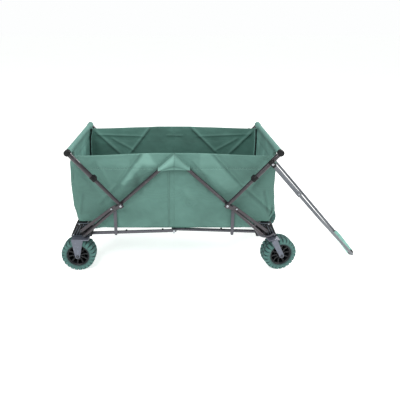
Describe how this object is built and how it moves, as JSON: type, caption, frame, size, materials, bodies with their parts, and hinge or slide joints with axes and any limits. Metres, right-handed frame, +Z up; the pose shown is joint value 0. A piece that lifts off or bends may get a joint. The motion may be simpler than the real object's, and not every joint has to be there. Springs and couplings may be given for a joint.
{
  "type": "folding camp wagon",
  "caption": "Folding fabric camp wagon on a scissor tube frame, with fixed rear wheels, swivelling front castors and a telescoping loop pull handle.",
  "frame": {"origin": "on the floor, under the middle of the whole wagon's bounding box, handle included", "axes": "+X to the front, the handle end; +Y to the wagon's left; +Z up"},
  "size_m": [1.497, 0.607, 0.629],
  "materials": {
    "gunmetal_tube": "gloss gunmetal powder coat",
    "zinc_steel": "zinc plated",
    "grey_fork_steel": "satin grey",
    "black_nylon": "moulded, lightly textured",
    "green_rubber": "matt, treaded",
    "dark_hub_plastic": "moulded, satin",
    "sage_canvas": "woven, matt",
    "sage_foam": "foam sleeve, matt"
  },
  "bodies": {
    "rear_base": {"rear_casting_near": "black_nylon", "rear_casting_far": "black_nylon", "rear_cross_tube": "gunmetal_tube", "rear_fork_near": "grey_fork_steel", "rear_axle_near": "zinc_steel", "rear_fork_far": "grey_fork_steel", "rear_axle_far": "zinc_steel"},
    "front_base": {"front_casting_near": "black_nylon", "front_casting_far": "black_nylon", "front_cross_tube": "gunmetal_tube"},
    "rear_wheel_near": {"rear_hub_near": "dark_hub_plastic", "rear_tyre_near": "green_rubber"},
    "castor_near": {"castor_fork_near": "grey_fork_steel", "front_axle_near": "zinc_steel"},
    "front_wheel_near": {"front_hub_near": "dark_hub_plastic", "front_tyre_near": "green_rubber"},
    "rear_wheel_far": {"rear_hub_far": "dark_hub_plastic", "rear_tyre_far": "green_rubber"},
    "castor_far": {"castor_fork_far": "grey_fork_steel", "front_axle_far": "zinc_steel"},
    "front_wheel_far": {"front_hub_far": "dark_hub_plastic", "front_tyre_far": "green_rubber"},
    "rear_legs": {"rear_leg_near": "gunmetal_tube", "rear_leg_far": "gunmetal_tube", "rear_hub_shaft": "zinc_steel"},
    "rear_arms": {"rear_arm_near": "gunmetal_tube", "rear_corner_cap_near": "black_nylon", "rear_arm_far": "gunmetal_tube", "rear_corner_cap_far": "black_nylon"},
    "rear_panel": {"rear_top_bar": "gunmetal_tube", "rear_wall": "sage_canvas", "side_wall_near": "sage_canvas", "side_wall_far": "sage_canvas"},
    "rear_rails": {"rear_rail_near": "gunmetal_tube", "rear_rail_far": "gunmetal_tube", "rear_floor_board": "sage_canvas"},
    "rear_struts": {"rear_strut_near": "gunmetal_tube", "rear_strut_far": "gunmetal_tube"},
    "rear_stays": {"rear_stay_near": "gunmetal_tube", "rear_stay_far": "gunmetal_tube"},
    "front_legs": {"front_leg_near": "gunmetal_tube", "front_leg_far": "gunmetal_tube", "front_hub_shaft": "zinc_steel"},
    "front_arms": {"front_arm_near": "gunmetal_tube", "front_corner_cap_near": "black_nylon", "front_arm_far": "gunmetal_tube", "front_corner_cap_far": "black_nylon"},
    "front_panel": {"front_top_bar": "gunmetal_tube", "front_wall": "sage_canvas"},
    "front_rails": {"front_rail_near": "gunmetal_tube", "front_rail_far": "gunmetal_tube", "front_floor_board": "sage_canvas"},
    "front_struts": {"front_strut_near": "gunmetal_tube", "front_strut_far": "gunmetal_tube"},
    "front_stays": {"front_stay_near": "gunmetal_tube", "front_stay_far": "gunmetal_tube"},
    "handle_sleeves": {"handle_sleeve_near": "gunmetal_tube", "handle_sleeve_far": "gunmetal_tube"},
    "handle_loop": {"handle_loop": "gunmetal_tube", "handle_grip": "sage_foam"}
  },
  "joints": [
    {"name": "fold", "type": "hinge", "parent": "rear_base", "child": "rear_legs", "pos_m": [-0.62665, 0, 0.192], "axis": [0, -1, 0], "range_deg": [0, 37.4]},
    {"name": "apex", "type": "hinge", "parent": "rear_legs", "child": "front_legs", "pos_m": [-0.19665, 0, 0.586], "axis": [0, -1, 0], "range_deg": [-75.3, 0]},
    {"name": "front_hub", "type": "hinge", "parent": "front_legs", "child": "front_base", "pos_m": [0.23335, 0, 0.192], "axis": [0, -1, 0], "range_deg": [0, 37.9]},
    {"name": "rear_elbow", "type": "hinge", "parent": "rear_legs", "child": "rear_arms", "pos_m": [-0.44365, 0, 0.35968], "axis": [0, -1, 0], "range_deg": [-71.9, 0]},
    {"name": "rear_top_corner", "type": "hinge", "parent": "rear_arms", "child": "rear_panel", "pos_m": [-0.67165, 0, 0.614], "axis": [0, -1, 0], "range_deg": [0, 34.5], "deforming": ["side_wall_near", "side_wall_far"]},
    {"name": "rear_rail_pivot", "type": "hinge", "parent": "rear_base", "child": "rear_rails", "pos_m": [-0.60465, 0, 0.188], "axis": [0, -1, 0], "range_deg": [0, 77.25]},
    {"name": "rear_strut_pivot", "type": "hinge", "parent": "rear_base", "child": "rear_struts", "pos_m": [-0.64074, 0, 0.21849], "axis": [0, -1, 0], "range_deg": [0, 50.8]},
    {"name": "rear_stay_pivot", "type": "hinge", "parent": "rear_legs", "child": "rear_stays", "pos_m": [-0.47765, 0, 0.32853], "axis": [0, -1, 0], "range_deg": [-47.89, 0]},
    {"name": "front_elbow", "type": "hinge", "parent": "front_legs", "child": "front_arms", "pos_m": [0.05035, 0, 0.35968], "axis": [0, -1, 0], "range_deg": [0, 71.9]},
    {"name": "front_top_corner", "type": "hinge", "parent": "front_arms", "child": "front_panel", "pos_m": [0.27835, 0, 0.614], "axis": [0, -1, 0], "range_deg": [-34.5, 0]},
    {"name": "front_rail_pivot", "type": "hinge", "parent": "front_base", "child": "front_rails", "pos_m": [0.21135, 0, 0.188], "axis": [0, -1, 0], "range_deg": [-77.25, 0]},
    {"name": "front_strut_pivot", "type": "hinge", "parent": "front_base", "child": "front_struts", "pos_m": [0.24743, 0, 0.21849], "axis": [0, -1, 0], "range_deg": [-50.8, 0]},
    {"name": "front_stay_pivot", "type": "hinge", "parent": "front_legs", "child": "front_stays", "pos_m": [0.08435, 0, 0.32853], "axis": [0, -1, 0], "range_deg": [0, 47.89]},
    {"name": "rear_wheel_spin_near", "type": "hinge", "parent": "rear_base", "child": "rear_wheel_near", "pos_m": [-0.66545, -0.219, 0.083], "axis": [0, 1, 0], "continuous": true},
    {"name": "castor_swivel_near", "type": "hinge", "parent": "front_base", "child": "castor_near", "pos_m": [0.27635, -0.219, 0.1765], "axis": [0, 0, 1], "continuous": true},
    {"name": "front_wheel_spin_near", "type": "hinge", "parent": "castor_near", "child": "front_wheel_near", "pos_m": [0.32037, -0.20964, 0.083], "axis": [-0.2079, 0.9781, 0], "continuous": true},
    {"name": "rear_wheel_spin_far", "type": "hinge", "parent": "rear_base", "child": "rear_wheel_far", "pos_m": [-0.66545, 0.219, 0.083], "axis": [0, 1, 0], "continuous": true},
    {"name": "castor_swivel_far", "type": "hinge", "parent": "front_base", "child": "castor_far", "pos_m": [0.27635, 0.219, 0.1765], "axis": [0, 0, 1], "continuous": true},
    {"name": "front_wheel_spin_far", "type": "hinge", "parent": "castor_far", "child": "front_wheel_far", "pos_m": [0.3211, 0.2143, 0.083], "axis": [0.1045, 0.9945, 0], "continuous": true},
    {"name": "handle_tilt", "type": "hinge", "parent": "front_arms", "child": "handle_sleeves", "pos_m": [0.23935, 0, 0.5705], "axis": [0, -1, 0], "range_deg": [0, 135]},
    {"name": "handle_slide", "type": "slide", "parent": "handle_sleeves", "child": "handle_loop", "axis": [0.6652, 0, -0.7466], "range_m": [-0.14, 0]}
  ],
  "couplings": [
    {"joint": "apex", "follows": "fold", "ratio": -2},
    {"joint": "front_hub", "follows": "fold", "ratio": 1},
    {"joint": "rear_elbow", "follows": "fold", "ratio": -1.909},
    {"joint": "rear_top_corner", "follows": "fold", "ratio": 0.909},
    {"joint": "rear_rail_pivot", "follows": "fold", "ratio": 2.052},
    {"joint": "rear_strut_pivot", "follows": "fold", "ratio": 1.345},
    {"joint": "rear_stay_pivot", "follows": "fold", "ratio": -1.267},
    {"joint": "front_elbow", "follows": "fold", "ratio": 1.909},
    {"joint": "front_top_corner", "follows": "fold", "ratio": -0.909},
    {"joint": "front_rail_pivot", "follows": "fold", "ratio": -2.052},
    {"joint": "front_strut_pivot", "follows": "fold", "ratio": -1.345},
    {"joint": "front_stay_pivot", "follows": "fold", "ratio": 1.267}
  ]
}
